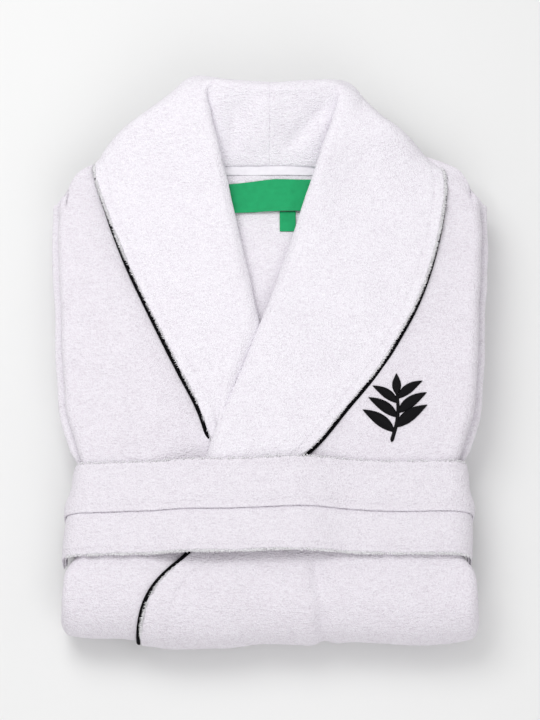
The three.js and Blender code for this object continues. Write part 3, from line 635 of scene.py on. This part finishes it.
def worn_collar(grid, steps, right):
    """Soft dents in the stand, and easy waves over the lapels. The right lapel dips where the left
    one lies over it."""
    stand = smooth_step(3.4, 1.8, steps)[None, :] * smooth_step(150, 175, grid[..., 1])
    dents = 3.8 * crease(grid, (-27, 243), (-34, 190), 8) + 3.8 * crease(grid, (58, 240), (12, 192), 7)
    dents = dents - 2.2 * crease(grid, (0, 240), (-8, 190), 10)
    waves = lumps(grid, 42, 21) * 1.3 + lumps(grid, 20, 22) * 0.5
    z = grid[..., 2] - stand * dents + waves * (1 - stand) * smooth_step(40, 60, grid[..., 2])
    if right:
        near = left_turn(grid[..., 1]) - grid[..., 0]
        z = z - 5.2 * smooth_step(16, -3, near) * smooth_step(70, 30, grid[..., 1])
    return np.concatenate([grid[..., :2], z[..., None]], -1)


# A paler copy of the plain terry for the collar facings and stand: painted light.
lapel_terry_painted_light = terry("terry_lapel_painted_light", (0.918, 0.903, 0.948), (0.785, 0.742, 0.805), (0.0085,))
edges, brims = {}, {}
for side, stations, rows in (("left", left_stations, 170), ("right", right_stations, 130)):
    grid, steps = collar_grid(stations, rows)
    grid = worn_collar(grid, steps, side == "right")
    upper = shell(f"collar_facing_{side}", grid, cloth, lapel_terry_painted_light, from_end=True)
    along, across = np.gradient(grid, axis=0), np.gradient(grid, axis=1)
    square = unit(np.cross(along, across)) * (1 if side == "left" else -1)
    across = unit(across)
    inner = (grid - square * pitch * 0.98)[:, 24:]
    inner[:, -8:] -= across[:, -8:] * np.linspace(0, 1.2, 8)[:, None]
    if side == "right":
        inner = inner[: int(rows * 0.9)]
    under = shell(f"collar_lining_{side}", inner, cloth * 0.96, plain_white, from_end=True)
    brims[side] = grid[:, -1] + across[:, -1] * 0.6 + square[:, -1] * 0.6, across[:, -1]
    share = np.linspace(0, 1, rows)
    clear = [-0.3, 0.3, 1.7] if side == "left" else [-0.8, -0.3, 1.7]
    clear = cloth / 2 + np.interp(share, [0.4, 0.52, 0.64], clear)
    edges[side] = grid[:, -1] + across[:, -1] * clear[:, None] - square[:, -1] * pitch / 2
    for piece, layer, area in ((upper, "upper", 0.060), (under, "under", 0.040)):
        sewn(piece, f"{layer}_collar_{side}")

# ---------------------------------------------------------------------------------------------
# Piping: a black covered cord caught in the seam between the two collar layers. On the left it
# runs on down the front's edge, over the fold and along to the hem. White loops stray over it.


def smoothed(line, times):
    """Each inner point moved halfway to the middle of its neighbours, a few times over."""
    for _ in range(times):
        line = np.concatenate([line[:1], line[1:-1] / 2 + (line[:-2] + line[2:]) / 4, line[-1:]])
    return line


def distance(line):
    """How far along the line each of its points is."""
    return np.concatenate([[0], np.cumsum(np.linalg.norm(np.diff(line, axis=0), axis=1))])


def spaced(line, gap):
    """The same line with its points an even distance apart."""
    run = distance(line)
    at = np.linspace(0, run[-1], max(2, int(run[-1] / gap)))
    return np.stack([np.interp(at, run, line[:, k]) for k in range(3)], -1)


def cord(name, line, radius, finish, around=12):
    """A round section carried along a line, square to it, with its ends rounded shut."""
    ahead = unit(np.gradient(line, axis=0))
    side = unit(np.cross(ahead, np.array([0.05, 0.02, 1.0])))
    rise = np.cross(side, ahead)
    angle = np.arange(around) * 2 * np.pi / around
    row, turn, ends = ends_shut(len(line))
    over, up = np.cos(angle)[:, None], np.sin(angle)[:, None]
    ring = np.cos(turn) * (over * side[row][:, None] + up * rise[row][:, None])
    grid = line[row][:, None] + radius * (ring + np.sin(turn) * ends * ahead[row][:, None])
    faces = wrapped(*grid.shape[:2])[:, [0, 3, 2, 1]]
    uv = np.stack(np.broadcast_arrays(angle[None] * radius, distance(line)[row][:, None]), -1)
    return build(name, grid, faces, finish, uv.reshape(-1, 2))


def thread(name, colour, rough, ribs, slant, relief_depth, shine=0.35):
    """Close rows of thread: ribs across the piece's own length, a little uneven, in one colour that is
    darker in the hollows between the ribs as painted shade."""
    finish, shader, new, link = blank(name, rough)
    shader.inputs["Specular IOR Level"].default_value = shine
    place, turned = new("ShaderNodeTexCoord"), new("ShaderNodeMapping")
    turned.inputs["Rotation"].default_value = (0, 0, slant)
    link(place.outputs["UV"], turned.inputs["Vector"])
    wave = new("ShaderNodeTexWave")
    wave.bands_direction = "Y"
    wave.inputs["Scale"].default_value = ribs
    wave.inputs["Distortion"].default_value = 1.2
    wave.inputs["Detail"].default_value = 2
    link(turned.outputs["Vector"], wave.inputs["Vector"])
    fluff = new("ShaderNodeTexNoise")
    fluff.inputs["Scale"].default_value = 900
    link(place.outputs["Object"], fluff.inputs["Vector"])
    both = new("ShaderNodeMath")
    both.operation = "MULTIPLY_ADD"
    both.inputs[1].default_value = 0.5
    link(fluff.outputs["Fac"], both.inputs[0])
    link(wave.outputs["Fac"], both.inputs[2])
    # Painted shade: the colour drops to six tenths in the hollows between the ribs.
    tone_and_shade_ramp(new, link, shader, both.outputs[0], [c * 0.6 for c in colour], colour, 0.2)
    raised(new, link, shader, both.outputs[0], 0.6, relief_depth)
    return finish


black_cord = thread("piping_black_cord", (0.0028, 0.0026, 0.0036), 0.75, 160, 0.5, 0.0004, 0.05)
cord_radius, hidden_radius, step = 1.9, 1.5, 2.5
start = np.argmin(np.abs(left_grid[:, 0, 1] + 176) + 1000 * (np.arange(len(left_grid)) > 150))
down_front = left_grid[start:, 0] - np.array([cloth / 2 + 1.5, 0, 0])
left_line = spaced(np.concatenate([edges["left"][:-5], down_front]), step)
left_line = spaced(smoothed(left_line, 6), step)
right_line = spaced(smoothed(spaced(edges["right"], step), 4), step)
right_run = right_grid[:, 0]
right_run = right_run[(np.arange(len(right_run)) > 60) & (right_run[:, 1] < -156)][:24]
right_run = spaced(right_run + np.array([cloth / 2 + 1.0, 0, 0]), step)
for name, line, radius, node in (
    ("collar_piping_left", left_line, cord_radius, "piping_left"),
    ("collar_piping_right", right_line, cord_radius, "piping_right_lapel"),
    ("front_piping_right", right_run, hidden_radius, "piping_right_front"),
):
    sewn(cord(name, line, radius, black_cord), node)


def strays(name, roots, tips, lift, width, finish):
    """Single loops of pile as thin three-sided spikes: from a root, over a raised middle, to a tip."""
    way = tips - roots
    side = unit(np.cross(way, np.array([0.1, 0.2, 1.0])))
    rise = np.cross(side, unit(way))
    angle = np.array([0, 2, 4]) * np.pi / 3
    ring = np.cos(angle)[:, None] * side[:, None] + np.sin(angle)[:, None] * rise[:, None]
    ring = ring * width[:, None, None]
    middle = roots + way * 0.55 + upward * lift[:, None]
    points = np.concatenate([roots[:, None] + ring, middle[:, None] + ring * 0.9, tips[:, None]], 1)
    one = np.array([(0, 2, 1), (0, 1, 4), (0, 4, 3), (1, 2, 5), (1, 5, 4), (2, 0, 3), (2, 3, 5),
                    (3, 4, 6), (4, 5, 6), (5, 3, 6)])
    faces = (one[None] + 7 * np.arange(len(roots))[:, None, None]).reshape(-1, 3)
    return build(name, points, faces, finish)


def along_edge(line, outward, count, crowd, seed, reach=(1.6, 3.6)):
    """Random roots along an edge, thicker on the ground where crowd is high, and tips beyond it."""
    rng = np.random.default_rng(seed)
    at = rng.uniform(0, len(line) - 1.001, count * 3)
    keep = rng.uniform(0, 1, len(at)) < np.interp(at / (len(line) - 1), *crowd)
    clump = lumps(np.stack([at * 0.9, at * 0, at * 0], -1), 2.4, seed + 1)
    at = at[keep & (clump > rng.uniform(-1.1, 0.4, len(at)))][:count]
    i, f = at.astype(int), (at % 1)[:, None]
    root = line[i] * (1 - f) + line[i + 1] * f
    out = outward[i] * (1 - f) + outward[i + 1] * f
    run = unit(line[i + 1] - line[i])
    draw = lambda low, high: rng.uniform(low, high, len(at))[:, None]
    length = draw(*reach) * (0.45 + 0.55 * np.interp(at / (len(line) - 1), *crowd)[:, None])
    root = root + out * draw(-0.6, 0.9) + upward * draw(0.3, 1.5)
    tip = root + out * length + run * rng.normal(0, 0.9, len(at))[:, None]
    tip = tip - upward * draw(-0.3, 1.6)
    return root, tip, draw(0.5, 1.3)[:, 0], draw(0.18, 0.34)[:, 0]


# Near-white terry for the stray loops, paler than the cloth they grow from: painted light that makes
# up for the shade the thin spikes cast on each other.
stray_terry_painted_light = terry("terry_strays_painted_light", (0.99, 0.985, 1.0), (0.96, 0.95, 0.98), sheen=0.8)
skirt_edge = left_grid[start + 1 : 160, 0]
brims["front"] = skirt_edge + np.array([0, 0, 1.2]), np.array([-1.0, 0, 0]) + 0 * skirt_edge
for side, count, crowd, seed in (
    ("front", 900, ([0.0, 0.25, 0.45, 0.8, 1], [0.1, 0.3, 1, 1, 0.5]), 53),
    ("left", 2600, ([0.0, 0.33, 0.40, 0.52, 0.62, 0.8, 1], [0, 0, 1, 1, 0.65, 0.42, 0.3]), 31),
    ("right", 2200, ([0.0, 0.38, 0.44, 0.6, 0.68, 0.95, 1], [0, 0, 1, 1, 0.42, 0.3, 0.2]), 37),
):
    line, out = brims[side]
    piece = strays(f"piping_pile_{side}", *along_edge(line, out, count, crowd, seed), stray_terry_painted_light)
    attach(piece, "robe")

# ---------------------------------------------------------------------------------------------
# Neck: a white twill tape over the seam, the hanging loop under it, a green woven label and, from
# the label's lower edge, a small tag that turns on its stitches. All are blank.
inner_face = lambda y: (15 * pitch + cloth) * height(y)


def woven(name, colour, dark, count, relief_depth, rough=0.6, shine=0.5):
    """Plain weave: warp and weft ribs cross at the same count per metre, each in turn on top. The
    colour is darker between the ribs as painted shade, and wanders with a broad noise as random tone.
    """
    finish, shader, new, link = blank(name, rough)
    shader.inputs["Specular IOR Level"].default_value = shine
    place = new("ShaderNodeTexCoord")
    ribs = []
    for direction in ("X", "Y"):
        wave = new("ShaderNodeTexWave")
        wave.bands_direction = direction
        wave.inputs["Scale"].default_value = count
        wave.inputs["Distortion"].default_value = 0.5
        link(place.outputs["UV"], wave.inputs["Vector"])
        ribs.append(wave.outputs["Fac"])
    noise = new("ShaderNodeTexNoise")
    noise.inputs["Scale"].default_value = 160
    link(place.outputs["Object"], noise.inputs["Vector"])
    total = noise.outputs["Fac"]
    for rib in ribs:
        add = new("ShaderNodeMath")
        add.operation = "MULTIPLY_ADD"
        add.inputs[1].default_value = 0.5
        link(rib, add.inputs[0])
        link(total, add.inputs[2])
        total = add.outputs[0]
    # Painted shade between the ribs, with random tone from the broad noise.
    tone_and_shade_ramp(new, link, shader, total, dark, colour, 0.35)
    raised(new, link, shader, total, 0.5, relief_depth)
    return finish


# The label's green runs from dark between the ribs to light on them: painted shade and a painted satin
# sheen.
green = woven("label_green", (0.012, 0.37, 0.135), (0.005, 0.24, 0.08), 330, 0.0003, 0.6, 0.2)
white_tape = woven("tape_white", (0.86, 0.845, 0.885), (0.66, 0.63, 0.69), 300, 0.0004, 0.8)
over_face = lambda gap: (lambda y: inner_face(y) + gap)
ribbon = 0.8  # how thick the tapes and labels are
seam_tape = patch("seam_tape", -47, 47, 172.5, 181.5, over_face(0.8), ribbon, white_tape, (10, 60),
                  lambda x, y: 0.35 * np.sin(x / 9) + 0.3)
sewn(seam_tape, "neck_tape")
curl = lambda x, y: 1.3 * smooth_step(160, 138, y) * (1 + 0.5 * np.sin(x / 14))
label = patch("woven_label", -36, 42, 137.3, 167.3, over_face(2.2), ribbon, green, (28, 60),
              lambda x, y: curl(x, y) + 0.25 * np.sin(x / 6),
              lambda x, y: -(1.6 + 3.0 * smooth_step(137, 167, y)) * smooth_step(8, -38, x))
sewn(label, "neck_label")
tag = patch("hanging_size_tag", 9, 22.4, 118.6, 137.1, over_face(1.0), ribbon, green, (18, 18),
            lambda x, y: 0.1 * smooth_step(137, 122, y) + 0.01 * (x - 16) ** 2 / 9)
sewn(tag, "size_tag", "size_tag")


def tape(name, line, width, thick, finish):
    """A flat tape carried along a line, its width lying level and square to the line."""
    side = unit(np.cross(np.gradient(line, axis=0), upward))
    across = side[:, None] * np.linspace(-0.5, 0.5, 7)[None, :, None]
    return shell(name, line[:, None] + across * width, thick, finish, fuzz=0)


half_loop = [(25, 166.5, 0), (25, 164, 0), (24.5, 160.5, 0), (20, 157.6, 0), (8, 156.8, 0)]
loop_line = np.array([(-x, y, z) for x, y, z in half_loop] + half_loop[::-1])
loop_line = spaced(through(loop_line, np.linspace(0, 9, 60)), 1.5)
loop_line[:, 2] = inner_face(loop_line[:, 1]) + 0.8
sewn(tape("hanging_loop", loop_line, 6, ribbon, white_tape), "hanger_loop")

# ---------------------------------------------------------------------------------------------
# Side seams: a narrow tape carrier for the belt at each side and a long satin care label on the
# left, all caught in the seams and folded inside.
seam_z = lambda y: (13 * pitch + 1.8) * height(y)
carrier = np.array([(1, 0), (1, 0.5), (1, 1), (0.4, 1.25), (-0.4, 1.25), (-1, 1), (-1, 0), (-1, -1),
                    (-0.4, -1.25), (0.4, -1.25), (1, -1), (1, -0.1)])
for sign, side in ((1, "left"), (-1, "right")):
    line = [sign * 69.6 + carrier[:, 0] * 4.6, -147 + carrier[:, 1] * 25, 0 * carrier[:, 0]]
    line = spaced(through(np.stack(line, -1), np.linspace(0, 11, 90)), 1.5)
    line[:, 2] = seam_z(line[:, 1])
    loop = tape(f"belt_carrier_{side}", line, 2.4, 1.2, white_tape)
    sewn(loop, f"belt_loop_{side}")
care = patch("satin_care_label", 45.7, 75.7, -84, -30, lambda y: seam_z(y) - 0.4, 0.6, white_tape,
             (24, 16), lambda x, y: 0.5 * np.sin(y / 11))
sewn(care, "care_label")

# ---------------------------------------------------------------------------------------------
# Motif: a sprig of seven leaves on a stem, embroidered in black satin stitch on the left chest.
chest = lambda y: (17 * pitch + cloth) * height(y)


def stitched(places, widths, lean):
    """A low dome on the cloth along a line: half its width to each side, highest in the middle."""
    line, half = places[:, None], widths[:, None]
    ahead = np.gradient(places, axis=0)
    side = unit(np.stack([-ahead[:, 1], ahead[:, 0]], -1))[:, None]
    angle = np.linspace(0, 2 * np.pi, 20, endpoint=False)[None]
    across = half * np.cos(angle)
    flat = line + side * across[..., None]
    rise = np.where(np.sin(angle) > 0, 1.55, 0.25) * np.sin(angle) * np.minimum(1, half / 2.2) ** 0.5
    points = np.concatenate([flat, (chest(flat[..., 1]) + 0.35 + rise)[..., None]], -1)
    along = distance(places)[:, None] + lean * np.abs(across)
    uv = np.stack(np.broadcast_arrays(across, along), -1)
    faces = np.roll(wrapped(*points.shape[:2]), -1, axis=1)
    return points.reshape(-1, 3), faces, uv.reshape(-1, 2)


t = np.linspace(0, 1, 22)
stem = through([(105, -78), (109.5, -62), (111, -48), (110, -32)], np.linspace(0, 3, 30))
parts = [stitched(stem, np.interp(np.linspace(0, 1, 30), [0, 0.04, 0.9, 1], [0.1, 1.7, 1.4, 0.2]), 0)]
for up, length in ((9, 34), (22, 31), (35, 27)):
    for turn, higher in ((0.8, 0), (0.2, 4)):
        y0 = -78 + up + higher
        x0 = np.interp(y0, stem[:, 1], stem[:, 0])
        way = np.array([np.cos(turn * np.pi), np.sin(turn * np.pi)])
        bend = np.array([-way[1], way[0]]) * (1 if turn < 0.5 else -1) * 1.6
        line = np.array([x0, y0]) + t[:, None] * way * length + np.sin(np.pi * t)[:, None] * bend
        parts.append(stitched(line, 0.05 + length * 0.155 * np.sin(np.pi * t ** 0.85) ** 0.9, 0.5))
tip = np.array([110, -36]) + t[:, None] * np.array([0, 20.0])
parts.append(stitched(tip, 0.05 + 3.9 * np.sin(np.pi * t ** 0.9), 0.5))
offsets = np.cumsum([0] + [len(p[0]) for p in parts[:-1]])
satin = thread("satin_stitch_black", (0.0035, 0.0032, 0.0045), 0.5, 260, 0.35, 0.0005, 0.12)
faces = np.concatenate([p[1] + k for p, k in zip(parts, offsets)])
places, uv = np.concatenate([p[0] for p in parts]), np.concatenate([p[2] for p in parts])
sprig = build("embroidered_sprig", places, faces, satin, uv)
sewn(sprig, "embroidered_motif")

# ---------------------------------------------------------------------------------------------
# Belt: one long terry strip folded in four. It crosses as an upper and a lower band, two layers
# each, and its folds hang down both sides. The upper band's lower edge rides on the lower band.
belt_cloth = 1.9
band_width, band_middles = 43, (-116.8, -155.2)  # without the rims; the upper and the lower band
over = np.array([(-168, 15), (-168, 50), (-163, 58.2), (-98, 58.6), (-70, 69.6), (34, 69.6),
                 (66, 62.3), (162, 62), (168, 54), (168, 15)], float)
over = smoothed(spaced(np.insert(over, 1, 0, axis=1), 1.0), 60)


def belt_pass(gap, reverse):
    """The line over the bundle, moved out by a gap square to itself, in the asked direction."""
    ahead = np.gradient(over, axis=0)
    line = over + gap * unit(np.stack([-ahead[:, 2], 0 * ahead[:, 0], ahead[:, 0]], -1))
    return line[::-1] if reverse else line


def turn_back(start, end, below):
    """Half a circle that joins two passes below their hanging ends."""
    angle = np.linspace(0, np.pi, 9)[1:-1, None]
    middle, half = (start + end) / 2, (start - end) / 2
    return middle + half * np.cos(angle) - upward * below * np.sin(angle)


near, far = belt_cloth / 2 + 0.3, belt_cloth * 1.5 + 0.5
runs = [belt_pass(near, False), belt_pass(far, True)]
runs += [belt_pass(near + 0.2, False), belt_pass(far + 0.2, True)]
line_parts = [runs[0]]
for before, after in zip(runs, runs[1:]):
    line_parts += [turn_back(before[-1], after[0], 1.7), after]
line = np.concatenate(line_parts)
change = sum(len(part) for part in line_parts[:4])  # where the upper band passes into the lower
band = [np.zeros(change - 8), np.linspace(0, 1, 16), np.ones(len(line) - change - 8)]
order = np.concatenate([np.arange(0, len(line) - 1, 3), [len(line) - 1]])
line, band = line[order], np.concatenate(band)[order]
share = np.linspace(-0.5, 0.5, 21)
middle = np.interp(band, [0, 1], band_middles)
wander = 1.1 * np.sin(line[:, 0] / 47 + 1) + 0.8 * np.sin(line[:, 0] / 21)
corner = np.clip((np.abs(line[:, 0]) - 150) / 18, 0, 1)[:, None] * np.pi / 2
aside = np.array([1.0, 0, 0]) * np.sign(line[:, :1])
away = upward * np.cos(corner) + aside * np.sin(corner)
ride_up = 3.1 * smooth_step(0.1, -0.32, share)[None] * (1 - band)[:, None]
crown = 0.9 * (1 - (2 * share[None]) ** 4) * np.ones_like(ride_up)
strip = np.repeat(line[:, None], len(share), axis=1)
strip[..., 1] = middle[:, None] + band_width * share[None] + (wander * (1 - 0.4 * band))[:, None]
strip[..., 0] *= 1 + np.where(strip[..., 0] < 0, 0.0007, 0.0002) * (-120 - strip[..., 1])
strip = strip + away[:, None] * (ride_up + crown)[..., None]
# A darker copy of the plain terry for the belt: painted shade.
belt_terry_painted_shade = terry("terry_belt", (0.87, 0.845, 0.895), (0.735, 0.69, 0.75), (0.0045, 0.0388))
belt = shell("folded_belt", strip, belt_cloth, belt_terry_painted_shade)
sewn(belt, "belt", "belt")
roots = []
for row, way, passed, count, seed in ((0, -1, 3, 3000, 41), (-1, 1, 1, 500, 47)):
    first = sum(len(p) for p in line_parts[: 2 * passed]) // 3 + 2
    edge = strip[first : first + len(over) // 3 - 2, row] + upward * 0.3
    edge = edge[np.abs(edge[:, 0]) < 176]
    aim = np.array([0, way, 0.0]) + 0 * edge
    tufts = along_edge(edge, aim, count, ([0, 1], [1, 1]), seed, (1.2, 2.4))
    roots.append((*tufts[:3], tufts[3] * 1.5))
belt_strays = strays("belt_edge_pile", *[np.concatenate(k) for k in zip(*roots)], stray_terry_painted_light)
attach(belt_strays, "belt")

bpy.context.view_layer.update()
